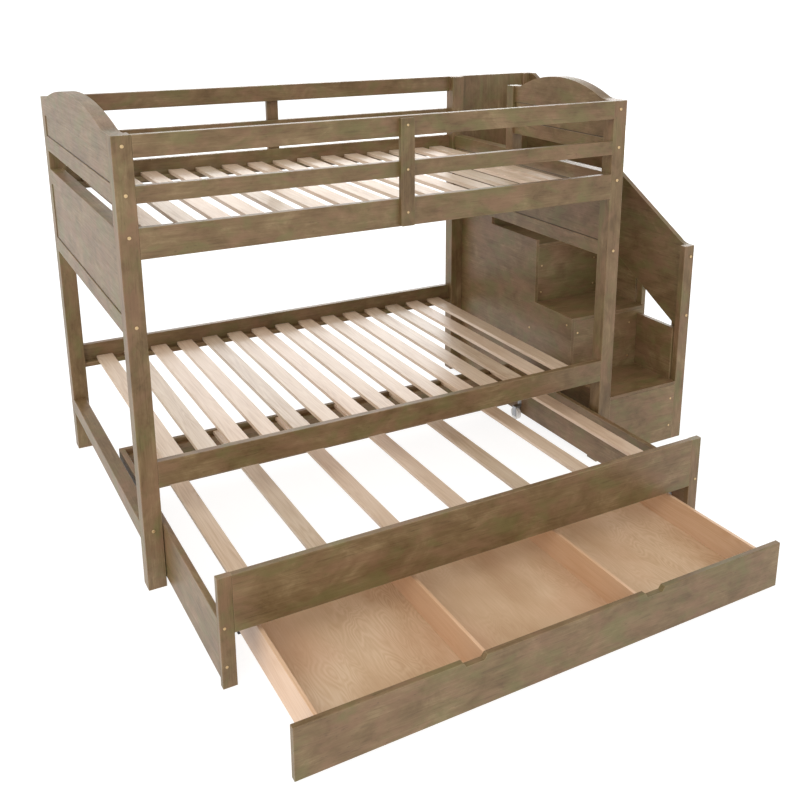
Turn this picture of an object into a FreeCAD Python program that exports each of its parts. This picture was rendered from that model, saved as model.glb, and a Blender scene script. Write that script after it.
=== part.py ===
import FreeCAD
import Part
import math
import os

# Bunk bed with storage stairs at its right end, a roll-out trundle under it
# and a wide three-bay drawer under the trundle.  Millimetres.  While it is
# drawn, X runs along the bed from the left posts, Y from the front face of
# the posts to the back and Z up.  place() then moves everything so that the
# origin is the middle of the footprint, on the floor.

V = FreeCAD.Vector

# ---------------------------------------------------------------- bed frame
bed_length = 2000.0
bed_depth = 1289.0
post_x = 63.0
post_y = 62.0
post_height = 1557.0
edge_ease = 1.5

# boards of the two end frames
end_board = 50.0
panel_recess = 4.0
upper_end_rail_drop = 216.0
upper_end_rail_h = 62.0
arch_foot_drop = 70.0
arch_shoulder = 13.0
left_arch_rise = 67.0
right_arch_rise = 64.0
left_arch_blend = 300.0
right_arch_blend = 100.0
lower_end_drop = 642.0
lower_end_bottom_rail_h = 61.0
lower_end_top_drop = 292.0
lower_end_top_rail_h = 60.0
stretcher_z = 172.0
stretcher_h = 63.0
entry_gap = 475.0
entry_post_x = 55.0
entry_post_y = 50.0

# long rails
rail_t = 26.0
upper_rail_drop = 392.0
upper_rail_h = 101.0
lower_rail_z = 375.5
lower_rail_h = 93.0
mid_guard_drop = 213.0
mid_guard_h = 55.0
top_guard_h = 71.0
batten_w = 54.0
batten_shift = 3.0
batten_t = 18.0
batten_foot_drop = 389.0
batten_drop = 5.0
batten_corner = 6.0

# slats
slat_count = 15
slat_w = 70.0
slat_t = 15.0
upper_slat_inset = 129.8
upper_slat_tail = 216.0
upper_last_inset = 110.0
lower_slat_inset = 118.4
lower_slat_tail = 247.7
lower_last_inset = 122.9
slat_end_gap = 2.0
ledger_w = 30.0
ledger_h = 20.0
upper_ledger_rise = 13.0

# bolts and screws
bolt_head_r = 6.0
bolt_head_h = 2.4
bolt_shank_r = 3.0
bolt_bite = 40.0
screw_head_r = 4.5
screw_head_h = 1.4
screw_shank_r = 2.0
screw_bite = 22.0
short_screw_bite = 12.0
hole_clearance = 0.2
batten_screw_bite = 20.0
front_screw_inset = 21.0
front_screw_low = 69.0
front_screw_high = 200.0
riser_screw_low = 44.0
riser_2_screw_drop = 71.0
riser_3_screw_drop = 106.0
riser_screw_left = 34.0
riser_2_screw_right = 336.0
riser_3_screw_right = 345.0
guard_bolt_low = 319.0
guard_bolt_high = 49.0
side_screw_inset = 36.0
side_screw_front_z = 519.0
side_screw_back_z = 421.0
trundle_screw_inset = 15.0
trundle_screw_low = 75.0
trundle_screw_high = 205.0

# ------------------------------------------------------------------- stairs
stair_w = 441.0
stair_front = 17.0
side_t = 15.0
landing_drop = 441.0
step_1_run = 268.0
step_2_run = 285.0
landing_depth = 341.0
tread_t = 16.0
riser_t = 15.0
inner_side_lip = 22.0
bottom_t = 16.0
back_t = 22.0
guard_t = 22.0
guard_inset = 2.0
guard_band_h = 388.0
guard_front_drop = 8.858
guard_flat = 64.0
guard_leg = 50.0
guard_blend = 48.0
stair_post_w = 54.0
stair_post_d = 30.0
stair_post_drop = 652.0
stile_w = 38.0
mid_stile_y = 300.0
stile_gap = 8.0
step_guard_x = 380.0
step_guard_t = 18.0
step_guard_front = 33.0
step_guard_h = 246.0

# ------------------------------------------------------------------ trundle
trundle_out = 599.0
trundle_gap_left = 2.0
trundle_gap_right = 10.0
trundle_depth = 1254.0
trundle_top = 371.0
stile_front_w = 45.0
stile_front_t = 23.0
stile_foot_gap = 3.0
trundle_rail_t = 22.0
trundle_rail_z = 181.0
trundle_side_t = 20.0
trundle_side_z = 30.0
trundle_side_top = 234.0
trundle_slat_count = 7
trundle_slat_w = 65.0
trundle_slat_first = 136.0
trundle_slat_last = 94.6
trundle_slat_z = 215.0
trundle_slat_t = 15.0
trundle_ledger_w = 22.0
trundle_ledger_h = 20.0

# castor wheels of the trundle
wheel_r = 30.0
wheel_w = 18.0
wheel_inset = 120.0
axle_r = 4.0
axle_clearance = 0.08
ear_t = 2.5
ear_gap = 1.0
ear_w = 26.0
ear_drop = 12.0
bracket_arm = 8.0
bracket_h = 66.0
wheel_round = 2.0

# ------------------------------------------------------------------- drawer
drawer_out = 433.7
drawer_side_gap = 3.0
drawer_top_gap = 4.0
drawer_foot_z = 11.0
drawer_front_t = 20.0
drawer_depth = 760.0
drawer_box_inset_left = 122.5
drawer_box_inset_right = 110.0
drawer_side_t = 13.0
drawer_side_z = 22.0
drawer_side_top = 155.0
divider_t = 12.0
divider_offset = 282.5
drawer_floor_z = 44.0
drawer_floor_t = 5.0
groove_depth = 5.0
notch_left_offset = 338.5
notch_right_offset = 324.0
notch_w = 80.0
notch_depth = 15.0
notch_slant = 10.0
glide_w = 30.0
glide_l = 60.0
glide_inset = 40.0

# ------------------------------------------------- levels and places that follow
x_right = bed_length + stair_w
y_front = -trundle_out - drawer_out
y_back = bed_depth + batten_t + screw_head_h
SHIFT = V(-x_right / 2.0, -(y_front + y_back) / 2.0, 0.0)

upper_end_rail_z = post_height - upper_end_rail_drop
arch_foot_z = post_height - arch_foot_drop
lower_end_z = post_height - lower_end_drop
lower_end_top_z = post_height - lower_end_top_drop
upper_rail_z = post_height - upper_rail_drop
mid_guard_z = post_height - mid_guard_drop
batten_foot_z = post_height - batten_foot_drop
batten_x = bed_length / 2.0 + batten_shift
stair_post_h = post_height - stair_post_drop
step_rise = (post_height - landing_drop) / 4.0
guard_front_z = stair_post_h - guard_front_drop
inner_front = post_y
inner_back = bed_depth - post_y
entry_post_back = inner_back - entry_gap
entry_post_front = entry_post_back - entry_post_y
left_in = post_x
right_in = bed_length - post_x
mid_x = bed_length / 2.0

upper_slat_z = upper_rail_z + upper_ledger_rise + ledger_h
lower_slat_z = lower_rail_z + ledger_h
upper_slat_pitch = (bed_length - upper_slat_inset - upper_slat_tail - slat_w) / (slat_count - 2)
lower_slat_pitch = (bed_length - lower_slat_inset - lower_slat_tail - slat_w) / (slat_count - 2)

riser_1_y = stair_front
riser_2_y = riser_1_y + step_1_run
riser_3_y = riser_2_y + step_2_run
riser_4_y = bed_depth - landing_depth
tread_1_z = step_rise
tread_2_z = 2.0 * step_rise
tread_3_z = 3.0 * step_rise
landing_z = 4.0 * step_rise
stair_x = bed_length
stair_in = bed_length + side_t
guard_out = x_right - guard_inset
guard_in = guard_out - guard_t
stair_post_x = x_right - stair_post_w
stair_post_back = stair_front + stair_post_d
guard_leg_back = stair_post_back + guard_leg
guard_flat_y = bed_depth - guard_flat
guard_slope = (post_height - guard_front_z) / (guard_flat_y - stair_post_back)
guard_sill_z = landing_z - tread_t
guard_sill_y = guard_flat_y - (post_height - guard_band_h - guard_sill_z) / guard_slope

trundle_y = -trundle_out
trundle_left = left_in + trundle_gap_left
trundle_right = right_in - trundle_gap_right
trundle_back = trundle_y + trundle_depth
trundle_side_y = trundle_y + stile_front_t
rear_rail_y = trundle_back - trundle_side_t
trundle_slat_pitch = ((trundle_right - trundle_left - trundle_slat_first - trundle_slat_last)
                      / (trundle_slat_count - 1))

drawer_y = trundle_y - drawer_out
drawer_left = trundle_left + stile_front_w + drawer_side_gap
drawer_right = trundle_right - stile_front_w - drawer_side_gap
drawer_front_top = trundle_rail_z - drawer_top_gap
drawer_box_y = drawer_y + drawer_front_t
drawer_back = drawer_y + drawer_depth
box_left = trundle_left + drawer_box_inset_left
box_right = trundle_right - drawer_box_inset_right


def guard_lower(y):
    """Height of the guard board's lower edge at depth y."""
    return guard_upper(y) - guard_band_h


def guard_upper(y):
    """Height of the guard board's sloping top edge at depth y."""
    return post_height - guard_slope * (guard_flat_y - y)


# -------------------------------------------------------------- small tools
def board(x0, x1, y0, y1, z0, z1, ease=edge_ease):
    """A plank between the given faces, its long edges eased."""
    plank = Part.makeBox(x1 - x0, y1 - y0, z1 - z0, V(x0, y0, z0))
    if ease <= 0.0:
        return plank
    spans = (x1 - x0, y1 - y0, z1 - z0)
    axis = spans.index(max(spans))
    long_edges = []
    for edge in plank.Edges:
        run = edge.Vertexes[1].Point - edge.Vertexes[0].Point
        if abs((run.x, run.y, run.z)[axis]) > 0.5 * spans[axis]:
            long_edges.append(edge)
    return plank.makeChamfer(min(ease, min(spans) / 4.0), long_edges)


def profile_yz(edges, x0, x1):
    """A flat outline in the Y-Z plane, given the thickness x0 to x1."""
    face = Part.Face(Part.Wire(edges))
    return face.extrude(V(x1 - x0, 0.0, 0.0))


def polygon_yz(points, x0, x1):
    """A board cut to straight lines in the Y-Z plane."""
    corners = [V(x0, y, z) for y, z in points]
    wire = Part.makePolygon(corners + corners[:1])
    return Part.Face(wire).extrude(V(x1 - x0, 0.0, 0.0))


def polygon_xz(points, y0, y1):
    """A board cut to straight lines in the X-Z plane."""
    corners = [V(x, y0, z) for x, z in points]
    wire = Part.makePolygon(corners + corners[:1])
    return Part.Face(wire).extrude(V(0.0, y1 - y0, 0.0))


def line(a, b):
    return Part.LineSegment(a, b).toShape()


def arc(a, b, c):
    return Part.Arc(a, b, c).toShape()


def fastener(point, way, head_r, head_h, shank_r, reach):
    """A round-headed screw, its head seated on the face at point."""
    head = Part.makeCylinder(head_r, head_h, point - way * head_h, way)
    rim = []
    for edge in head.Edges:
        centre = edge.CenterOfMass
        if edge.Closed and (centre - (point - way * head_h)).Length < 0.01:
            rim.append(edge)
    head = head.makeFillet(head_h * 0.6, rim)
    socket = hex_socket(point - way * head_h, way, head_r * 0.38, head_h * 0.6)
    shank = Part.makeCylinder(shank_r, reach, point, way)
    return head.cut(socket).fuse(shank).removeSplitter()


def hex_socket(point, way, radius, depth):
    """The six-sided key recess in a screw head."""
    side = V(0.0, 0.0, 1.0)
    other = way.cross(side)
    corners = []
    for k in range(6):
        a = math.radians(60.0 * k)
        corners.append(point + side * (radius * math.cos(a)) + other * (radius * math.sin(a)))
    face = Part.Face(Part.makePolygon(corners + corners[:1]))
    return face.extrude(way * depth)


def drill(solid, fasteners):
    """Bores the solid wherever a fastener's shank passes through it."""
    for point, way, head_r, head_h, shank_r, reach in fasteners:
        bore = Part.makeCylinder(shank_r + hole_clearance, reach + 2.0, point - way, way)
        if bore.BoundBox.intersect(solid.BoundBox):
            solid = solid.cut(bore)
    return solid


def save(name, solids, fasteners=()):
    """Moves the solids to the part's own frame and writes one file."""
    ready = []
    for solid in solids:
        done = drill(solid, fasteners)
        for piece in done.Solids:
            piece.translate(SHIFT)
            ready.append(piece)
    shape = ready[0] if len(ready) == 1 else Part.makeCompound(ready)
    shape.exportStep(os.path.join("parts", name + ".step"))


os.makedirs("parts", exist_ok=True)

# ------------------------------------------------------ where fasteners sit
NORTH = V(0.0, 1.0, 0.0)
SOUTH = V(0.0, -1.0, 0.0)
EAST = V(1.0, 0.0, 0.0)

end_levels = [
    arch_foot_z + 37.0,
    upper_end_rail_z + 0.5 * upper_end_rail_h,
    lower_end_top_z - 0.5 * lower_end_top_rail_h + 4.0,
    lower_end_z + 0.5 * lower_end_bottom_rail_h,
]
stretcher_bolt_z = stretcher_z + 48.0
batten_levels = [
    post_height - 0.42 * top_guard_h,
    mid_guard_z + 0.5 * mid_guard_h,
    upper_rail_z + 0.52 * upper_rail_h,
]


def bolt(x, y, z, way):
    return (V(x, y, z), way, bolt_head_r, bolt_head_h, bolt_shank_r, post_y + bolt_bite)


def screw(x, y, z, way, reach=screw_bite):
    return (V(x, y, z), way, screw_head_r, screw_head_h, screw_shank_r, reach)


def bed_fasteners():
    """Frame bolts through the posts into the end boards, and batten screws."""
    found = []
    for x in (0.5 * post_x, bed_length - 0.5 * post_x):
        for z in end_levels:
            found.append(bolt(x, 0.0, z, NORTH))
            rear_holds = x < mid_x or z < lower_end_top_z
            if rear_holds:
                found.append(bolt(x, bed_depth, z, SOUTH))
    found.append(bolt(0.5 * post_x, 0.0, stretcher_bolt_z, NORTH))
    found.append(bolt(0.5 * post_x, bed_depth, stretcher_bolt_z, SOUTH))
    reach = batten_t + batten_screw_bite
    for z in batten_levels:
        found.append(screw(batten_x, -batten_t, z, NORTH, reach))
        found.append(screw(batten_x, bed_depth + batten_t, z, SOUTH, reach))
    return found


def stair_fasteners():
    """Screws on the risers, the front post and the inner side board."""
    found = []
    for z in (front_screw_low, front_screw_high):
        found.append(screw(stair_post_x - front_screw_inset, riser_1_y, z, NORTH, short_screw_bite))
    for z in (tread_1_z + riser_screw_low, tread_2_z - riser_2_screw_drop):
        for x in (bed_length + riser_screw_left, bed_length + riser_2_screw_right):
            found.append(screw(x, riser_2_y, z, NORTH, short_screw_bite))
    for z in (tread_2_z + riser_screw_low, tread_3_z - riser_3_screw_drop):
        for x in (bed_length + riser_screw_left, bed_length + riser_3_screw_right):
            found.append(screw(x, riser_3_y, z, NORTH, short_screw_bite))
    for z in (stair_post_h - guard_bolt_low, stair_post_h - guard_bolt_high):
        found.append(bolt_short(guard_in, z))
    for y, z in ((riser_2_y, side_screw_front_z), (riser_3_y, side_screw_back_z)):
        found.append(screw(bed_length, y + side_screw_inset, z, EAST, short_screw_bite))
    return found


def bolt_short(x, z):
    """A bolt through the stair post into the guard board behind it."""
    reach = stair_post_d + 0.6 * guard_leg
    centre = x + 0.3 * guard_t
    return (V(centre, stair_front, z), NORTH, bolt_head_r, bolt_head_h, bolt_shank_r, reach)


def trundle_fasteners():
    """Two screws through each front stile into the end of its side board."""
    found = []
    reach = stile_front_t + screw_bite
    for x in (trundle_left + trundle_screw_inset, trundle_right - trundle_screw_inset):
        for z in (trundle_screw_low, trundle_screw_high):
            found.append(screw(x, trundle_y, z, NORTH, reach))
    return found


BED = bed_fasteners()
STAIR = stair_fasteners()
TRUNDLE = trundle_fasteners()


# ------------------------------------------------------------- bed: the posts
def corner_post(x0, y0):
    return board(x0, x0 + post_x, y0, y0 + post_y, 0.0, post_height)


save("front_left_post", [corner_post(0.0, 0.0)], BED)
save("rear_left_post", [corner_post(0.0, inner_back)], BED)
save("front_right_post", [corner_post(right_in, 0.0)], BED)
save("rear_right_post", [corner_post(right_in, inner_back)], BED)
entry_post = board(right_in, right_in + entry_post_x, entry_post_front, entry_post_back,
                   lower_end_top_z, post_height)
save("entry_post", [entry_post], BED)


# ------------------------------------------------------- bed: the end frames
def arch_board(x0, x1, y0, y1, rise, blend):
    """Board whose top swells up in one arc, blended into flat shoulders."""
    top = post_height
    mid = 0.5 * (y0 + y1)
    foot = y0 + arch_shoulder
    half = mid - foot
    total = (half * half + rise * rise) / (2.0 * rise)
    turn = math.asin(half / total)
    join_y = foot + blend * math.sin(turn)
    join_z = top + blend * (1.0 - math.cos(turn))
    mid_y = foot + blend * math.sin(0.5 * turn)
    mid_z = top + blend * (1.0 - math.cos(0.5 * turn))
    start = V(x0, y0, arch_foot_z)
    end = V(x0, y1, arch_foot_z)
    edges = [
        line(start, V(x0, y0, top)),
        line(V(x0, y0, top), V(x0, foot, top)),
        arc(V(x0, foot, top), V(x0, mid_y, mid_z), V(x0, join_y, join_z)),
        arc(V(x0, join_y, join_z), V(x0, mid, top + rise), V(x0, 2.0 * mid - join_y, join_z)),
        arc(V(x0, 2.0 * mid - join_y, join_z), V(x0, 2.0 * mid - mid_y, mid_z),
            V(x0, 2.0 * mid - foot, top)),
        line(V(x0, 2.0 * mid - foot, top), V(x0, y1, top)),
        line(V(x0, y1, top), end),
        line(end, start),
    ]
    return profile_yz(edges, x0, x1)


def recessed_panel(x0, x1, y0, y1, z0, z1):
    """Thin panel set back from both faces of the frame round it."""
    return board(x0 + panel_recess, x1 - panel_recess, y0, y1, z0, z1, 0.0)


upper_panel_z = upper_end_rail_z + upper_end_rail_h
lower_panel_z = lower_end_z + lower_end_bottom_rail_h
lower_panel_top = lower_end_top_z - lower_end_top_rail_h
left_out = 0.0
right_face = bed_length - end_board

save("left_arch_board",
     [arch_board(left_out, end_board, inner_front, inner_back, left_arch_rise, left_arch_blend)],
     BED)
save("left_upper_panel",
     [recessed_panel(left_out, end_board, inner_front, inner_back, upper_panel_z, arch_foot_z)])
save("left_upper_rail",
     [board(left_out, end_board, inner_front, inner_back, upper_end_rail_z, upper_panel_z)], BED)
save("left_lower_top_rail",
     [board(left_out, end_board, inner_front, inner_back, lower_panel_top, lower_end_top_z)], BED)
save("left_lower_panel",
     [recessed_panel(left_out, end_board, inner_front, inner_back, lower_panel_z,
                     lower_panel_top)])
save("left_lower_bottom_rail",
     [board(left_out, end_board, inner_front, inner_back, lower_end_z, lower_panel_z)], BED)
save("left_stretcher",
     [board(left_out, end_board, inner_front, inner_back, stretcher_z,
            stretcher_z + stretcher_h)], BED)

save("right_arch_board",
     [arch_board(right_face, bed_length, inner_front, entry_post_front, right_arch_rise,
                 right_arch_blend)], BED)
save("right_upper_panel",
     [recessed_panel(right_face, bed_length, inner_front, entry_post_front, upper_panel_z,
                     arch_foot_z)])
save("right_upper_rail",
     [board(right_face, bed_length, inner_front, entry_post_front, upper_end_rail_z,
            upper_panel_z)], BED)
save("right_sill_rail",
     [board(right_face, bed_length, inner_front, inner_back, lower_panel_top, lower_end_top_z)],
     BED)
save("right_lower_panel",
     [recessed_panel(right_face, bed_length, inner_front, inner_back, lower_panel_z,
                     lower_panel_top)])
save("right_lower_bottom_rail",
     [board(right_face, bed_length, inner_front, inner_back, lower_end_z, lower_panel_z)], BED)


# -------------------------------------------------------- bed: the long rails
def long_rail(back, z0, height):
    """Plank between two posts, flush with the outer faces of the posts."""
    y0 = bed_depth - rail_t if back else 0.0
    return board(left_in, right_in, y0, y0 + rail_t, z0, z0 + height)


top_guard_z = post_height - top_guard_h
save("front_top_guard_rail", [long_rail(False, top_guard_z, top_guard_h)], BED)
save("front_mid_guard_rail", [long_rail(False, mid_guard_z, mid_guard_h)], BED)
save("rear_guard_rails",
     [long_rail(True, top_guard_z, top_guard_h), long_rail(True, mid_guard_z, mid_guard_h)], BED)
save("upper_front_rail", [long_rail(False, upper_rail_z, upper_rail_h)], BED)
save("upper_rear_rail", [long_rail(True, upper_rail_z, upper_rail_h)], BED)
save("lower_front_rail", [long_rail(False, lower_rail_z, lower_rail_h)], BED)
save("lower_rear_rail", [long_rail(True, lower_rail_z, lower_rail_h)], BED)


def guard_batten(y0):
    """Upright strip tying the three long rails together, corners rounded."""
    x0 = batten_x - 0.5 * batten_w
    top = post_height - batten_drop
    strip = Part.makeBox(batten_w, batten_t, top - batten_foot_z, V(x0, y0, batten_foot_z))
    corners = []
    for edge in strip.Edges:
        run = edge.Vertexes[1].Point - edge.Vertexes[0].Point
        if abs(run.y) > 0.5 * batten_t:
            corners.append(edge)
    return strip.makeFillet(batten_corner, corners)


save("front_guard_batten", [guard_batten(-batten_t)], BED)
save("rear_guard_batten", [guard_batten(bed_depth)], BED)


# ------------------------------------------------------------- bed: the decks
def ledgers(z0):
    """The two strips on the rails that carry the slat ends."""
    front = board(left_in, right_in, rail_t, rail_t + ledger_w, z0, z0 + ledger_h)
    back_y = bed_depth - rail_t - ledger_w
    back = board(left_in, right_in, back_y, back_y + ledger_w, z0, z0 + ledger_h)
    return [front, back]


def deck(z0, first_x, pitch, last_inset):
    """Evenly pitched slats, the last one a closing slat of its own."""
    slats = []
    places = [first_x + i * pitch for i in range(slat_count - 1)]
    for x in places + [bed_length - last_inset - slat_w]:
        slats.append(board(x, x + slat_w, rail_t + slat_end_gap,
                           bed_depth - rail_t - slat_end_gap, z0, z0 + slat_t))
    return slats


upper_ledger_z = upper_slat_z - ledger_h
lower_ledger_z = lower_slat_z - ledger_h


def notched(strips):
    """Strips cut back where the corner posts stand deeper than the rails."""
    posts = []
    for x in (0.0, right_in):
        for y in (0.0, inner_back):
            posts.append(Part.makeBox(post_x, post_y, post_height, V(x, y, 0.0)))
    for post in posts:
        strips = [strip.cut(post) for strip in strips]
    return strips


save("slat_ledgers", notched(ledgers(upper_ledger_z) + ledgers(lower_ledger_z)))
save("upper_slats", deck(upper_slat_z, upper_slat_inset, upper_slat_pitch, upper_last_inset))
save("lower_slats", deck(lower_slat_z, lower_slat_inset, lower_slat_pitch, lower_last_inset))
save("bed_bolts", [fastener(*item) for item in BED])


# ---------------------------------------------------------- stairs: the shell
def inner_side():
    """Stepped board that closes the stairs on the bed's side."""
    lip_z = tread_3_z + inner_side_lip
    outline = [
        (riser_1_y, 0.0), (riser_1_y, tread_1_z), (riser_2_y, tread_1_z),
        (riser_2_y, tread_2_z), (riser_3_y, tread_2_z), (riser_3_y, lip_z),
        (riser_4_y, lip_z), (riser_4_y, landing_z), (bed_depth, landing_z), (bed_depth, 0.0),
    ]
    return polygon_yz(outline, stair_x, stair_in)


def outer_guard():
    """Sloping guard board with a straight leg down behind the stair post."""
    x = guard_in
    front = stair_post_back
    blend_y = front + guard_blend
    points = {
        "heel": V(x, front, 0.0),
        "toe": V(x, guard_leg_back, 0.0),
        "crotch": V(x, guard_leg_back, guard_lower(guard_leg_back)),
        "sill": V(x, guard_sill_y, guard_sill_z),
        "tail": V(x, bed_depth, guard_sill_z),
        "peak": V(x, bed_depth, post_height),
        "knee": V(x, guard_flat_y, post_height),
        "blend": V(x, blend_y, guard_upper(blend_y)),
        "sag": V(x, front + 0.5 * guard_blend,
                 0.5 * (stair_post_h + guard_upper(blend_y)) - 0.08 * guard_blend),
        "head": V(x, front, stair_post_h),
    }
    edges = [
        line(points["heel"], points["toe"]),
        line(points["toe"], points["crotch"]),
        line(points["crotch"], points["sill"]),
        line(points["sill"], points["tail"]),
        line(points["tail"], points["peak"]),
        line(points["peak"], points["knee"]),
        line(points["knee"], points["blend"]),
        arc(points["blend"], points["sag"], points["head"]),
        line(points["head"], points["heel"]),
    ]
    return profile_yz(edges, guard_in, guard_out)


front_post = board(stair_post_x, x_right, stair_front, stair_post_back, 0.0, stair_post_h)
corner_stile = board(guard_in - stile_w, guard_in, bed_depth - stile_w, bed_depth, 0.0,
                     post_height)
mid_stile = polygon_yz(
    [(mid_stile_y, 0.0), (mid_stile_y + stile_w, 0.0),
     (mid_stile_y + stile_w, guard_lower(mid_stile_y + stile_w)),
     (mid_stile_y, guard_lower(mid_stile_y))],
    guard_in, guard_out)

save("stair_inner_side", [inner_side()], STAIR)
save("stair_outer_guard", [outer_guard()], STAIR)
save("stair_front_post", [front_post], STAIR)
save("stair_stiles", [mid_stile, corner_stile])


def infill_panels():
    """Two fillers that close the guard board's foot down to the treads."""
    y0 = mid_stile_y + stile_w + stile_gap
    y1 = riser_3_y + riser_t
    z0 = tread_2_z - tread_t
    lower = polygon_yz([(y0, z0), (y1, z0), (y1, guard_lower(y1)), (y0, guard_lower(y0))],
                       guard_in, guard_out)
    z2 = tread_3_z - tread_t
    y2 = guard_leg_back + (z2 - guard_lower(guard_leg_back)) / guard_slope
    y3 = riser_4_y + riser_t
    upper = polygon_yz([(y2, z2), (y3, z2), (y3, guard_lower(y3))], guard_in, guard_out)
    return [lower, upper]


save("stair_infill_panels", infill_panels())


# ---------------------------------------------------------- stairs: the steps
def riser(y, top, z0, x1):
    return board(stair_in, x1, y, y + riser_t, z0, top, 0.0)


def riser_top(z):
    return z - tread_t


save("stair_risers",
     [riser(riser_1_y, riser_top(tread_1_z), 0.0, stair_post_x),
      riser(riser_2_y, riser_top(tread_2_z), bottom_t, guard_in),
      riser(riser_3_y, riser_top(tread_3_z), bottom_t, guard_in),
      riser(riser_4_y, riser_top(landing_z), bottom_t, guard_in)], STAIR)


def tread(y0, y1, top):
    step = board(stair_in, guard_in, y0, y1, top - tread_t, top)
    return step.cut(front_post).cut(corner_stile)


save("stair_treads",
     [tread(riser_1_y, riser_2_y, tread_1_z),
      tread(riser_2_y, riser_3_y, tread_2_z),
      tread(riser_3_y, riser_4_y, tread_3_z)])
save("stair_landing", [tread(riser_4_y, bed_depth - back_t, landing_z)])


def shelf(y0, y1, top):
    return board(stair_in, guard_in, y0, y1, top - tread_t, top, 0.0).cut(corner_stile)


def shelves():
    """Bottom board and the shelves of the cubbies that open to the right."""
    bay_2 = riser_2_y + riser_t
    bay_3 = riser_3_y + riser_t
    bay_4 = riser_4_y + riser_t
    back = bed_depth - back_t
    bottom = board(stair_in, guard_in, riser_1_y + riser_t, back, 0.0, bottom_t, 0.0)
    bottom = bottom.cut(front_post).cut(corner_stile)
    return [
        bottom,
        shelf(bay_2, riser_3_y, tread_1_z),
        shelf(bay_3, riser_4_y, tread_1_z),
        shelf(bay_3, riser_4_y, tread_2_z),
        shelf(bay_4, back, tread_1_z),
        shelf(bay_4, back, tread_2_z),
        shelf(bay_4, back, tread_3_z),
    ]


save("stair_shelves", shelves())

back_right = guard_in - stile_w
back_panel = polygon_xz(
    [(stair_in, 0.0), (back_right, 0.0), (back_right, post_height),
     (stair_x, post_height), (stair_x, landing_z), (stair_in, landing_z)],
    bed_depth - back_t, bed_depth)
save("stair_back_panel", [back_panel])

step_guard_left = bed_length + step_guard_x
step_guard = board(step_guard_left, step_guard_left + step_guard_t,
                   riser_1_y + step_guard_front, riser_2_y, tread_1_z,
                   tread_1_z + step_guard_h)
save("step_side_board", [step_guard])
save("stair_screws", [fastener(*item) for item in STAIR])


# ------------------------------------------------------------------- trundle
def trundle_stile(x0):
    return board(x0, x0 + stile_front_w, trundle_y, trundle_y + stile_front_t,
                 stile_foot_gap, trundle_top)


save("trundle_stiles",
     [trundle_stile(trundle_left), trundle_stile(trundle_right - stile_front_w)], TRUNDLE)
front_rail = board(trundle_left + stile_front_w, trundle_right - stile_front_w,
                   trundle_y, trundle_y + trundle_rail_t, trundle_rail_z, trundle_top)
save("trundle_front_rail", [front_rail])


def trundle_side(x0):
    return board(x0, x0 + trundle_side_t, trundle_side_y, rear_rail_y, trundle_side_z,
                 trundle_side_top)


save("trundle_sides",
     [trundle_side(trundle_left), trundle_side(trundle_right - trundle_side_t)], TRUNDLE)
save("trundle_rear_rail",
     [board(trundle_left, trundle_right, rear_rail_y, trundle_back, trundle_side_z,
            trundle_side_top)])

trundle_inner_left = trundle_left + trundle_side_t
trundle_inner_right = trundle_right - trundle_side_t
slat_front_y = trundle_y + trundle_rail_t
trundle_ledger_z = trundle_slat_z - trundle_ledger_h
save("trundle_ledgers",
     [board(trundle_left + stile_front_w, trundle_right - stile_front_w, slat_front_y,
            slat_front_y + trundle_ledger_w, trundle_ledger_z, trundle_slat_z),
      board(trundle_inner_left, trundle_inner_right, rear_rail_y - trundle_ledger_w,
            rear_rail_y, trundle_ledger_z, trundle_slat_z)])


def trundle_deck():
    slats = []
    for i in range(trundle_slat_count):
        x = trundle_left + trundle_slat_first + i * trundle_slat_pitch
        slats.append(board(x - 0.5 * trundle_slat_w, x + 0.5 * trundle_slat_w, slat_front_y,
                           rear_rail_y, trundle_slat_z, trundle_slat_z + trundle_slat_t))
    return slats


save("trundle_slats", trundle_deck())
save("trundle_screws", [fastener(*item) for item in TRUNDLE])

# castors: one wheel at each corner, inboard of the side boards
left_wheel_x = trundle_inner_left + bracket_arm + ear_t + ear_gap
right_wheel_x = trundle_inner_right - bracket_arm - ear_t - ear_gap - wheel_w
front_wheel_y = trundle_y + wheel_inset
rear_wheel_y = trundle_back - wheel_inset


def wheel(x0, y):
    disc = Part.makeCylinder(wheel_r, wheel_w, V(x0, y, wheel_r), EAST)
    rims = [edge for edge in disc.Edges if edge.Closed]
    disc = disc.makeFillet(wheel_round, rims)
    bore = Part.makeCylinder(axle_r + axle_clearance, wheel_w, V(x0, y, wheel_r), EAST)
    return disc.cut(bore)


def wheel_bracket(x0, y, outer_left):
    """Fork of two ears under a plate that is fixed to the side board."""
    top = trundle_side_z + bracket_h
    low = wheel_r - ear_drop
    plate_z = 2.0 * wheel_r + 4.0
    ear_a = x0 - ear_gap - ear_t
    ear_b = x0 + wheel_w + ear_gap
    y0 = y - 0.5 * ear_w
    y1 = y + 0.5 * ear_w
    near_ear = Part.makeBox(ear_t, ear_w, plate_z - low, V(ear_a, y0, low))
    far_ear = Part.makeBox(ear_t, ear_w, plate_z - low, V(ear_b, y0, low))
    fork_plate = Part.makeBox(ear_b + ear_t - ear_a, ear_w, ear_t, V(ear_a, y0, plate_z))
    if outer_left:
        wall_x = trundle_inner_left
        arm_x0 = wall_x
        arm_x1 = ear_a
    else:
        wall_x = trundle_inner_right - ear_t
        arm_x0 = ear_b + ear_t
        arm_x1 = trundle_inner_right
    arm = Part.makeBox(arm_x1 - arm_x0, y1 - y0, ear_t, V(arm_x0, y0, plate_z))
    flange = Part.makeBox(ear_t, ear_w, top - plate_z, V(wall_x, y0, plate_z))
    fork = near_ear.fuse([far_ear, fork_plate, arm, flange]).removeSplitter()
    pin = Part.makeCylinder(axle_r, ear_b + ear_t - ear_a, V(ear_a, y, wheel_r), EAST)
    return [fork.fuse(pin).removeSplitter()]


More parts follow.
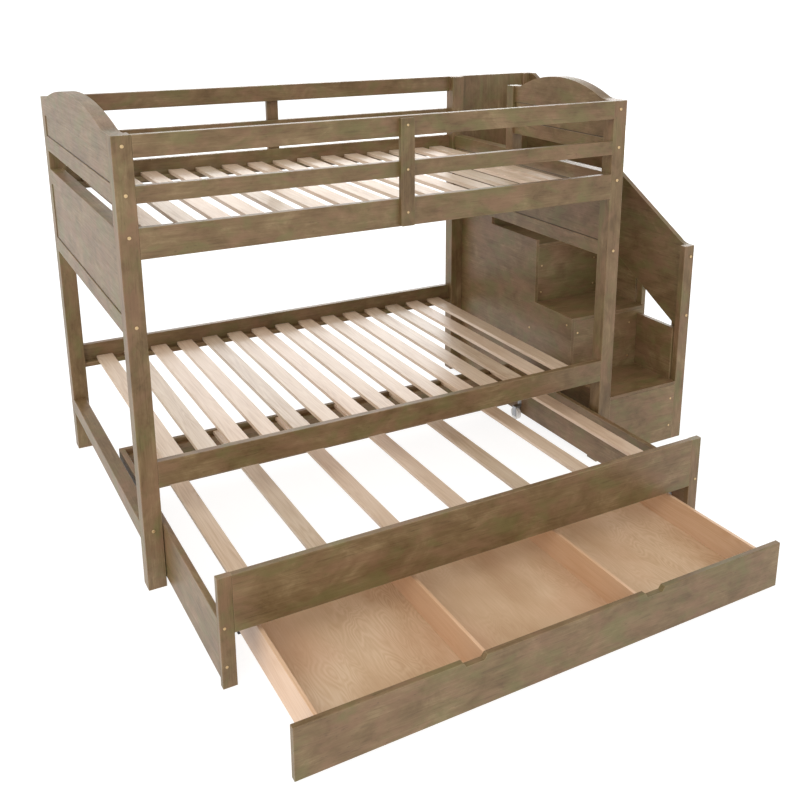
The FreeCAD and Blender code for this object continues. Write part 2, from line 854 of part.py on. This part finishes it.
brackets = []
for y in (front_wheel_y, rear_wheel_y):
    brackets += wheel_bracket(left_wheel_x, y, True)
    brackets += wheel_bracket(right_wheel_x, y, False)
save("castor_brackets", brackets)
save("front_castor_wheels",
     [wheel(left_wheel_x, front_wheel_y), wheel(right_wheel_x, front_wheel_y)])
save("rear_castor_wheels",
     [wheel(left_wheel_x, rear_wheel_y), wheel(right_wheel_x, rear_wheel_y)])


# -------------------------------------------------------------------- drawer
def drawer_front():
    """Wide front board with two slanted hand notches in its top edge."""
    panel = board(drawer_left, drawer_right, drawer_y, drawer_box_y, drawer_foot_z,
                  drawer_front_top)
    for x in (mid_x - notch_left_offset, mid_x + notch_right_offset):
        half = 0.5 * notch_w
        low = drawer_front_top - notch_depth
        notch = polygon_xz(
            [(x - half, drawer_front_top + 1.0), (x - half, drawer_front_top),
             (x - half + notch_slant, low), (x + half - notch_slant, low),
             (x + half, drawer_front_top), (x + half, drawer_front_top + 1.0)],
            drawer_y - 1.0, drawer_box_y + 1.0)
        panel = panel.cut(notch)
    return panel


save("drawer_front", [drawer_front()])

drawer_inner_back = drawer_back - drawer_side_t
divider_left = mid_x - divider_offset - 0.5 * divider_t
divider_right = mid_x + divider_offset - 0.5 * divider_t


def upright(x0, thickness, groove_sides):
    """Side or divider of the drawer box, grooved for the bottom panels."""
    wall = board(x0, x0 + thickness, drawer_box_y, drawer_inner_back, drawer_side_z,
                 drawer_side_top)
    for side in groove_sides:
        gx = x0 if side < 0 else x0 + thickness - groove_depth
        groove = Part.makeBox(groove_depth, drawer_depth, drawer_floor_t,
                              V(gx, drawer_y, drawer_floor_z))
        wall = wall.cut(groove)
    return wall


save("drawer_sides",
     [upright(box_left, drawer_side_t, (1,)),
      upright(box_right - drawer_side_t, drawer_side_t, (-1,))])
save("drawer_dividers",
     [upright(divider_left, divider_t, (-1, 1)), upright(divider_right, divider_t, (-1, 1))])
save("drawer_back",
     [board(box_left, box_right, drawer_inner_back, drawer_back, drawer_side_z,
            drawer_side_top)])


def drawer_floor(x0, x1):
    return board(x0 - groove_depth, x1 + groove_depth, drawer_box_y, drawer_inner_back,
                 drawer_floor_z, drawer_floor_z + drawer_floor_t, 0.0)


save("drawer_bottoms",
     [drawer_floor(box_left + drawer_side_t, divider_left),
      drawer_floor(divider_left + divider_t, divider_right),
      drawer_floor(divider_right + divider_t, box_right - drawer_side_t)])


def glides():
    """Low pads that carry the drawer box on the floor."""
    pads = []
    for x in (box_left, box_right - glide_w):
        for y in (drawer_box_y + glide_inset, drawer_back - glide_inset - glide_l):
            pads.append(board(x, x + glide_w, y, y + glide_l, 0.0, drawer_side_z))
    return pads


save("drawer_glides", glides())
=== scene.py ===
import math

import bpy
from mathutils import Matrix, Vector


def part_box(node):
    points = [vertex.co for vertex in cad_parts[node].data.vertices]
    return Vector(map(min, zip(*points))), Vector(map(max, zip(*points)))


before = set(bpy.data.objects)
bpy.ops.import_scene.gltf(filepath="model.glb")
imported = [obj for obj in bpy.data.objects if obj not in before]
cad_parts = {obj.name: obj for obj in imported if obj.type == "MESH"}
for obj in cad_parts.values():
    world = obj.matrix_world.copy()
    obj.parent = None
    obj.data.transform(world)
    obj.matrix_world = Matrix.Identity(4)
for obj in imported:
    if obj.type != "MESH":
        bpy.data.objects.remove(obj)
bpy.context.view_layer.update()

# Lengths are in metres. The bed's own layout has its origin on the floor at
# the front left post's outer corner; these take it to the frame's origin.
OX = -1.2205
OY = -0.13785

WHITE = (1.0, 1.0, 1.0, 1.0)

# Noise crowds around a half: what lies between these becomes 0 to 1.
NOISE_LOW = 0.3
NOISE_HIGH = 0.7

# Colours are written as sRGB 0..255 and turned into linear values where used.
STAIN = ((0.08, (82, 61, 33)), (0.36, (104, 81, 50)),
         (0.62, (120, 97, 65)), (0.92, (144, 122, 88)))
STAIN_RED = (130, 97, 72)
STAIN_GREEN = (104, 100, 56)
STAIN_DASH = (75, 54, 30)
STAIN_FLECK = (58, 42, 25)
GROOVE_SHADE = (54, 40, 24)
WORN_EDGE_AND_HIGHLIGHT = (184, 160, 124)
PLANED = ((0.10, (182, 154, 124)), (0.45, (205, 182, 155)), (0.90, (222, 203, 180)))
PLANED_PINK = (206, 172, 150)
PLANED_WARM = (212, 160, 114)
VENEER = ((0.08, (184, 148, 112)), (0.45, (206, 175, 141)), (0.90, (226, 200, 170)))
VENEER_BLUSH = (205, 160, 128)
BRASS = (214, 186, 142)
ZINC = (176, 178, 182)
WHEEL = (230, 230, 228)
GLIDE = (44, 40, 36)

# Worn edges, made lighter also as a painted highlight: how far this reaches in, how strongly
# it shows, and the cosines of the softened normal's lean where it begins and is full.
EDGE_RADIUS = 0.004
EDGE_SAMPLES = 6
EDGE_WEAR_AND_HIGHLIGHT = 0.30
EDGE_BEGINS = 0.985
EDGE_FULL = 0.86

# The line of painted shade round a recessed panel, and the share of it that is fully dark.
GROOVE_SHADE_WIDTH = 0.0045
GROOVE_SHADE_CORE = 0.4

# A mix node's colour sockets: its others are for numbers and vectors.
MIX_A = 6
MIX_B = 7
MIX_RESULT = 2


# ------------------------------------------------------------ node helpers
class Graph:
    """A short way to write a material's node tree."""

    def __init__(self, name):
        self.material = bpy.data.materials.new(name)
        self.material.use_nodes = True
        self.tree = self.material.node_tree
        self.tree.nodes.clear()
        out = self.add("ShaderNodeOutputMaterial")
        self.shader = self.add("ShaderNodeBsdfPrincipled")
        self.link(self.shader.outputs["BSDF"], out.inputs["Surface"])

    def add(self, kind, **settings):
        node = self.tree.nodes.new(kind)
        for key, value in settings.items():
            setattr(node, key, value)
        return node

    def link(self, a, b):
        self.tree.links.new(a, b)

    def feed(self, socket, value):
        """Link a socket to another one, or set its number."""
        if hasattr(value, "is_output"):
            self.link(value, socket)
        else:
            socket.default_value = value

    def set(self, **values):
        """Set or link the shader's sockets, with _ for the spaces in names."""
        for key, value in values.items():
            self.feed(self.shader.inputs[key.replace("_", " ")], value)

    def coord(self):
        """The object's own coordinates, in metres."""
        return self.add("ShaderNodeTexCoord").outputs["Object"]

    def part(self, vector, axis):
        """A vector's X, Y or Z."""
        node = self.add("ShaderNodeSeparateXYZ")
        self.link(vector, node.inputs[0])
        return node.outputs["XYZ".index(axis)]

    def math(self, op, a, b=0.0):
        node = self.add("ShaderNodeMath", operation=op)
        self.feed(node.inputs[0], a)
        self.feed(node.inputs[1], b)
        return node.outputs[0]

    def total(self, *terms):
        """The sum of values, each times its weight."""
        value = None
        for term, weight in terms:
            term = self.math("MULTIPLY", term, weight)
            value = term if value is None else self.math("ADD", value, term)
        return value

    def vector(self, op, a, b):
        node = self.add("ShaderNodeVectorMath", operation=op)
        self.feed(node.inputs[0], a)
        self.feed(node.inputs[1], b)
        return node.outputs[0]

    def scaled(self, vector, factor):
        node = self.add("ShaderNodeVectorMath", operation="SCALE")
        self.link(vector, node.inputs[0])
        self.feed(node.inputs["Scale"], factor)
        return node.outputs[0]

    def noise(self, vector, scale, detail, rough, distort=0.0):
        node = self.add("ShaderNodeTexNoise")
        self.link(vector, node.inputs["Vector"])
        node.inputs["Scale"].default_value = scale
        node.inputs["Detail"].default_value = detail
        node.inputs["Roughness"].default_value = rough
        node.inputs["Distortion"].default_value = distort
        return node.outputs["Fac"]

    def grain(self, vector, stretched, detail, rough, distort=0.0):
        """Noise drawn out by the given factors in X, Y and Z."""
        drawn = self.vector("MULTIPLY", vector, stretched)
        return self.noise(drawn, 1.0, detail, rough, distort)

    def wave(self, value, turns):
        """Lines that follow a value's contours, 0 to 1."""
        swing = self.math("SINE", self.math("MULTIPLY", value, turns))
        return self.range(swing, -1.0, 1.0)

    def ramp(self, fac, stops, tone=1.0):
        """A colour ramp through sRGB colours, all made tone times as bright."""
        return self.linear_ramp(fac, [(place, srgb(colour, tone))
                                      for place, colour in stops])

    def linear_ramp(self, fac, stops):
        node = self.add("ShaderNodeValToRGB")
        elements = node.color_ramp.elements
        while len(elements) < len(stops):
            elements.new(0.5)
        for element, (place, colour) in zip(elements, stops):
            element.position = place
            element.color = (*colour, 1.0)
        self.link(fac, node.inputs["Fac"])
        return node.outputs["Color"]

    def range(self, value, a, b, c=0.0, d=1.0):
        """A value from a to b made to run from c to d."""
        node = self.add("ShaderNodeMapRange")
        self.link(value, node.inputs["Value"])
        node.inputs["From Min"].default_value = a
        node.inputs["From Max"].default_value = b
        node.inputs["To Min"].default_value = c
        node.inputs["To Max"].default_value = d
        return node.outputs["Result"]

    def spread(self, noise, c=0.0, d=1.0):
        """Noise made to fill the range from c to d."""
        return self.range(noise, NOISE_LOW, NOISE_HIGH, c, d)

    def mix(self, fac, base, colour):
        """The base colour with a share of a linear colour laid over it."""
        node = self.add("ShaderNodeMix", data_type="RGBA", blend_type="MIX")
        self.feed(node.inputs["Factor"], fac)
        self.link(base, node.inputs[MIX_A])
        node.inputs[MIX_B].default_value = (*colour, 1.0)
        return node.outputs[MIX_RESULT]

    def bump(self, height, strength, distance):
        node = self.add("ShaderNodeBump")
        node.inputs["Strength"].default_value = strength
        node.inputs["Distance"].default_value = distance
        self.link(height, node.inputs["Height"])
        self.set(Normal=node.outputs["Normal"])


def srgb(colour, tone=1.0):
    """An sRGB colour in 0..255 as linear values, made tone times as bright."""
    out = []
    for v in colour:
        v = v / 255.0
        out.append(v / 12.92 if v <= 0.04045 else ((v + 0.055) / 1.055) ** 2.4)
    return shade(out, tone)


def shade(colour, tone):
    """A linear colour made tone times as bright."""
    return tuple(min(1.0, c * tone) for c in colour)


def stretch(axis, along, across):
    """Factors for grain that runs along an axis: it changes faster across."""
    scale = [across, across, across]
    scale["XYZ".index(axis)] = along
    return tuple(scale)


def seed_of(name):
    """A fixed spread of offsets, one for each piece, so no two match."""
    total = 0
    for i, ch in enumerate(name):
        total = (total * 31 + ord(ch) * (i + 3)) % 9973
    return (total * 0.37 % 17.0, total * 0.73 % 13.0, total * 1.19 % 11.0)


def own_space(g, name):
    """The object's coordinates, moved to the piece's own place in the noise."""
    return g.vector("ADD", g.coord(), seed_of(name))


def row_space(g, name, axis, start, pitch, jump):
    """Own space for each board of a row along an axis, and its own number."""
    along = g.math("SUBTRACT", g.part(g.coord(), axis), start)
    number = g.math("FLOOR", g.math("DIVIDE", along, pitch))
    white = g.add("ShaderNodeTexWhiteNoise", noise_dimensions="1D")
    g.link(number, white.inputs["W"])
    moved = g.scaled(white.outputs["Color"], jump)
    return g.vector("ADD", own_space(g, name), moved), white.outputs["Value"]


def worn_and_highlit_edges(g):
    """1 along the edges of a piece, for wear and a painted highlight, 0 on its faces."""
    soft = g.add("ShaderNodeBevel", samples=EDGE_SAMPLES)
    soft.inputs["Radius"].default_value = EDGE_RADIUS
    flat = g.add("ShaderNodeNewGeometry").outputs["Normal"]
    both = g.add("ShaderNodeVectorMath", operation="DOT_PRODUCT")
    g.link(soft.outputs["Normal"], both.inputs[0])
    g.link(flat, both.inputs[1])
    return g.range(both.outputs["Value"], EDGE_BEGINS, EDGE_FULL)


def groove_shade_mask(g, axes, low, high):
    """Mask that is 1 next to the edges of a panel lying in two axes, where painted shade
    goes.
    """
    coord = g.coord()
    nearest = None
    for axis in axes:
        i = "XYZ".index(axis)
        part = g.part(coord, axis)
        from_low = g.math("SUBTRACT", part, low[i])
        to_high = g.math("SUBTRACT", high[i], part)
        edge = g.math("MINIMUM", from_low, to_high)
        nearest = edge if nearest is None else g.math("MINIMUM", nearest, edge)
    return g.range(nearest, GROOVE_SHADE_WIDTH, GROOVE_SHADE_WIDTH * GROOVE_SHADE_CORE)


# --------------------------------------------------------------- materials
def stained(name, axis, groove_shade=None):
    """Grey-brown brushed stain over softwood: streaks, blotches and flecks."""
    g = Graph("stained_" + name)
    plain = own_space(g, name)
    wide = g.vector("MULTIPLY", plain, stretch(axis, 7.0, 13.0))
    streak = g.grain(plain, stretch(axis, 6.0, 230.0), 5.0, 0.65)
    rings = g.grain(plain, stretch(axis, 2.2, 30.0), 3.0, 0.5, 0.6)
    lines = g.wave(rings, 46.0)
    blotch = g.noise(wide, 1.0, 6.0, 0.70, 0.6)
    cloud = g.noise(plain, 2.4, 2.0, 0.5)
    dash = g.range(g.grain(plain, stretch(axis, 9.0, 120.0), 3.0, 0.6), 0.60, 0.70)
    fleck = g.range(g.grain(plain, stretch(axis, 45.0, 210.0), 2.0, 0.7), 0.66, 0.73)

    value = g.total((g.spread(streak), 0.22), (lines, 0.08),
                    (g.range(blotch, 0.34, 0.66), 0.48), (g.spread(cloud), 0.22))
    colour = g.ramp(value, STAIN)
    for offset, low, high, share, tint in (
            ((5.3, 2.1, 8.7), 0.47, 0.62, 0.52, STAIN_RED),
            ((1.7, 9.1, 4.4), 0.49, 0.64, 0.55, STAIN_GREEN)):
        patch = g.noise(g.vector("ADD", wide, offset), 0.9, 4.0, 0.62, 0.5)
        colour = g.mix(g.range(patch, low, high, 0.0, share), colour, srgb(tint))
    colour = g.mix(g.math("MULTIPLY", dash, 0.42), colour, srgb(STAIN_DASH))
    colour = g.mix(g.math("MULTIPLY", fleck, 0.45), colour, srgb(STAIN_FLECK))
    # Edges made lighter, partly as wear and partly as a painted highlight.
    wear_and_highlight = g.math("MULTIPLY", worn_and_highlit_edges(g), g.range(cloud, 0.3, 0.6, 0.6, 1.0))
    colour = g.mix(g.math("MULTIPLY", wear_and_highlight, EDGE_WEAR_AND_HIGHLIGHT), colour, srgb(WORN_EDGE_AND_HIGHLIGHT))
    # Painted shade along the edges of a recessed panel.
    if groove_shade:
        colour = g.mix(groove_shade_mask(g, *groove_shade), colour, srgb(GROOVE_SHADE))
    g.set(Base_Color=colour, Roughness=g.spread(streak, 0.50, 0.38),
          Specular_IOR_Level=0.45)
    g.bump(g.total((streak, 0.7), (lines, 0.2)), 0.22, 0.0006)
    return g.material


def slat_wood(name, axis, row_axis, start, pitch, tone=1.0, warm=0.0):
    """Raw planed softwood, each slat with its own shade and grain."""
    g = Graph("slat_" + name)
    own, number = row_space(g, name, row_axis, start, pitch, 9.0)
    fine = g.grain(own, stretch(axis, 5.0, 300.0), 4.0, 0.6)
    rings = g.grain(own, stretch(axis, 1.5, 20.0), 2.5, 0.45, 0.5)
    lines = g.wave(rings, 62.0)
    soft = g.grain(own, stretch(axis, 2.0, 9.0), 2.0, 0.5)

    value = g.total((g.spread(fine), 0.34), (lines, 0.20), (g.spread(soft), 0.40))
    colour = g.ramp(value, PLANED, tone)
    colour = g.scaled(colour, g.range(number, 0.0, 1.0, 0.88, 1.06))
    colour = g.mix(g.range(number, 0.2, 1.0, 0.0, 0.30), colour, srgb(PLANED_PINK, tone))
    if warm:
        colour = g.mix(warm, colour, srgb(PLANED_WARM, tone))
    g.set(Base_Color=colour, Roughness=g.spread(fine, 0.42, 0.30),
          Specular_IOR_Level=0.75)
    g.bump(g.math("ADD", fine, g.math("MULTIPLY", lines, 0.25)), 0.15, 0.0005)
    return g.material


def plywood(name, start, pitch):
    """Rotary-cut face veneer: wandering contour figure along the sheet."""
    g = Graph("ply_" + name)
    own, _ = row_space(g, name, "X", start, pitch, 7.0)
    field = g.grain(own, (11.0, 3.2, 11.0), 2.0, 0.5, 0.35)
    gate = g.grain(own, (5.0, 3.0, 5.0), 2.0, 0.5)
    lines = g.math("MULTIPLY", g.wave(field, 140.0), g.range(gate, 0.38, 0.62))
    fine = g.grain(own, (240.0, 9.0, 240.0), 4.0, 0.6)
    soft = g.grain(own, (4.0, 2.2, 4.0), 3.0, 0.55)

    value = g.total((g.spread(soft), 0.52), (g.spread(fine), 0.16), (lines, 0.19))
    colour = g.ramp(value, VENEER)
    blush = g.noise(g.vector("ADD", own, (3.3, 6.1, 2.4)), 3.2, 2.0, 0.5)
    blush = g.range(blush, 0.48, 0.70, 0.0, 0.35)
    g.set(Base_Color=g.mix(blush, colour, srgb(VENEER_BLUSH)), Roughness=0.6,
          Specular_IOR_Level=0.35)
    g.bump(g.math("ADD", fine, g.math("MULTIPLY", lines, 0.5)), 0.15, 0.0004)
    return g.material


def metal(name, colour, rough):
    """Plated metal with a faint uneven sheen."""
    g = Graph(name)
    coord = g.coord()
    speck = g.noise(coord, 900.0, 3.0, 0.6)
    soft = g.noise(coord, 60.0, 2.0, 0.5)
    plate = srgb(colour)
    tint = g.linear_ramp(g.total((speck, 0.5), (soft, 0.5)),
                         [(0.3, shade(plate, 0.75)), (0.7, shade(plate, 1.15))])
    g.set(Base_Color=tint, Metallic=1.0, Roughness=g.spread(speck, rough * 0.8, rough * 1.3))
    g.bump(speck, 0.1, 0.0002)
    return g.material


def plastic(name, colour, rough):
    """Moulded plastic with a fine matt grain and scuffs."""
    g = Graph(name)
    coord = g.coord()
    pits = g.noise(coord, 1400.0, 2.0, 0.5)
    scuff = g.noise(coord, 70.0, 4.0, 0.65)
    resin = srgb(colour)
    tint = g.linear_ramp(scuff, [(0.35, shade(resin, 0.85)), (0.75, shade(resin, 1.15))])
    g.set(Base_Color=tint, Roughness=g.spread(scuff, rough, rough * 1.3))
    g.bump(pits, 0.15, 0.0002)
    return g.material


# ------------------------------------------------------- materials by piece
# Stained pieces, by the axis that their grain runs along.
GRAIN = {
    "X": ("front_top_guard_rail", "front_mid_guard_rail", "rear_guard_rails",
          "upper_front_rail", "upper_rear_rail", "lower_front_rail", "lower_rear_rail",
          "slat_ledgers", "stair_risers", "stair_treads", "stair_landing", "stair_shelves",
          "trundle_front_rail", "trundle_rear_rail", "trundle_ledgers", "drawer_front"),
    "Y": ("left_arch_board", "left_upper_panel", "left_upper_rail", "left_lower_top_rail",
          "left_lower_panel", "left_lower_bottom_rail", "left_stretcher",
          "right_arch_board", "right_upper_panel", "right_upper_rail", "right_sill_rail",
          "right_lower_panel", "right_lower_bottom_rail", "stair_outer_guard",
          "stair_inner_side", "stair_infill_panels", "step_side_board", "trundle_sides"),
    "Z": ("front_left_post", "rear_left_post", "front_right_post", "rear_right_post",
          "entry_post", "front_guard_batten", "rear_guard_batten", "stair_front_post",
          "stair_stiles", "stair_back_panel", "trundle_stiles"),
}

# Rows of slats: where the first one starts, from the bed's left end, how far
# before it the row's first division lies, in open space, and the pitch.
SLAT_ROWS = {"upper": (0.1298, 0.025, 0.12186), "lower": (0.1184, 0.025, 0.1203),
             "trundle": (0.201, 0.136, 0.2719)}

# The drawer's boards: grain, the axis that their row runs along, a start and
# a pitch that part them, brightness, and the share of the warm tint.
DRAWER_BOARDS = {"drawer_sides": ("Y", "X", OX + 0.1, 0.9, 1.06, 0.45),
                 "drawer_dividers": ("Y", "X", OX + 0.5, 0.5, 1.04, 0.55),
                 "drawer_back": ("X", "Y", -3.0, 9.0, 1.04, 0.5)}
# The drawer's plywood bottoms, parted in the same way.
PLY_START = -0.509
PLY_PITCH = 0.565


def dress(node, material):
    """Give a CAD node its material, through its slots."""
    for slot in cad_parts[node].material_slots:
        slot.material = material


for axis, names in GRAIN.items():
    for name in names:
        groove_shade = None
        # Recessed panels get a line of painted shade round their edges.
        if name.endswith("_panel") and name != "stair_back_panel":
            low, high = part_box(name)
            groove_shade = ("YZ", low, high)
        dress(name, stained(name, axis, groove_shade))

for name, (first, before, pitch) in SLAT_ROWS.items():
    dress(name + "_slats", slat_wood(name, "Y", "X", OX + first - before, pitch))
for name, settings in DRAWER_BOARDS.items():
    dress(name, slat_wood(name, *settings))
dress("drawer_bottoms", plywood("drawer", PLY_START, PLY_PITCH))
brass = metal("brass_plate", BRASS, 0.34)
for name in ("bed_bolts", "stair_screws", "trundle_screws"):
    dress(name, brass)
dress("castor_brackets", metal("zinc_plate", ZINC, 0.4))
wheel_plastic = plastic("wheel_plastic", WHEEL, 0.42)
for name in ("front_castor_wheels", "rear_castor_wheels"):
    dress(name, wheel_plastic)
dress("drawer_glides", plastic("glide_plastic", GLIDE, 0.5))

# ------------------------------------------------------------------- stage
FLOOR_REACH = 250.0
FLOOR_GREY = (0.3, 0.3, 0.3, 1.0)
FLOOR_GLOW = 0.86
WORLD_STRENGTH = 1.0

# Soft boxes: place, target, width and height, watts.
LIGHTS = {"key": ((-5.5, -5.0, 6.5), (0.0, 0.2, 0.7), (6.0, 6.0), 220.0),
          "back": ((6.0, 9.0, 2.6), (1.0, 0.0, 1.0), (10.0, 5.0), 640.0),
          "left": ((-9.0, 0.5, 2.6), (0.0, 0.2, 1.0), (5.0, 5.0), 60.0)}


def area_light(name, place, target, size, power):
    """A soft box that faces its target and stays out of the picture."""
    data = bpy.data.lights.new(name, "AREA")
    data.shape = "RECTANGLE"
    data.size, data.size_y = size
    data.energy = power
    lamp = bpy.data.objects.new(name, data)
    bpy.context.scene.collection.objects.link(lamp)
    lamp.location = place
    aim = Vector(target) - Vector(place)
    lamp.rotation_euler = aim.to_track_quat("-Z", "Y").to_euler()
    lamp.visible_camera = False


floor_mesh = bpy.data.meshes.new("floor")
corners = [(x * FLOOR_REACH, y * FLOOR_REACH, 0.0)
           for x, y in ((-1, -1), (1, -1), (1, 1), (-1, 1))]
floor_mesh.from_pydata(corners, [], [(0, 1, 2, 3)])
floor = bpy.data.objects.new("floor", floor_mesh)
bpy.context.scene.collection.objects.link(floor)
paint = Graph("pale_floor")
paint.set(Base_Color=FLOOR_GREY, Emission_Color=WHITE, Emission_Strength=FLOOR_GLOW,
          Roughness=0.9, Specular_IOR_Level=0.1)
floor.data.materials.append(paint.material)

world = bpy.data.worlds.new("studio")
bpy.context.scene.world = world
world.use_nodes = True
background = world.node_tree.nodes["Background"]
background.inputs["Color"].default_value = WHITE
background.inputs["Strength"].default_value = WORLD_STRENGTH
bpy.context.scene.view_settings.view_transform = "Standard"

for name, settings in LIGHTS.items():
    area_light(name, *settings)

# ------------------------------------------------------------------ camera
# A pinhole camera fitted to the 800 x 800 picture: focal length and middle
# in pixels, heading and dip in degrees, place in the bed's own layout.
PICTURE = 800.0
SENSOR = 36.0
FOCAL = 975.14
MIDDLE_X = 419.03
MIDDLE_Y = 262.69
HEADING = -29.20
DIP = 15.72
CAMERA_X = -0.61136
CAMERA_Y = -2.98469
CAMERA_Z = 1.98268
CLIP_END = 600.0

camera_data = bpy.data.cameras.new("camera")
camera_data.sensor_width = SENSOR
camera_data.lens = FOCAL / PICTURE * SENSOR
camera_data.shift_x = (PICTURE / 2.0 - MIDDLE_X) / PICTURE
camera_data.shift_y = (MIDDLE_Y - PICTURE / 2.0) / PICTURE
camera_data.clip_end = CLIP_END
camera = bpy.data.objects.new("camera", camera_data)
bpy.context.scene.collection.objects.link(camera)
turn = Matrix.Rotation(math.radians(HEADING), 4, "Z")
tilt = Matrix.Rotation(math.radians(90.0 - DIP), 4, "X")
place = Matrix.Translation((OX + CAMERA_X, OY + CAMERA_Y, CAMERA_Z))
camera.matrix_world = place @ turn @ tilt
bpy.context.scene.camera = camera
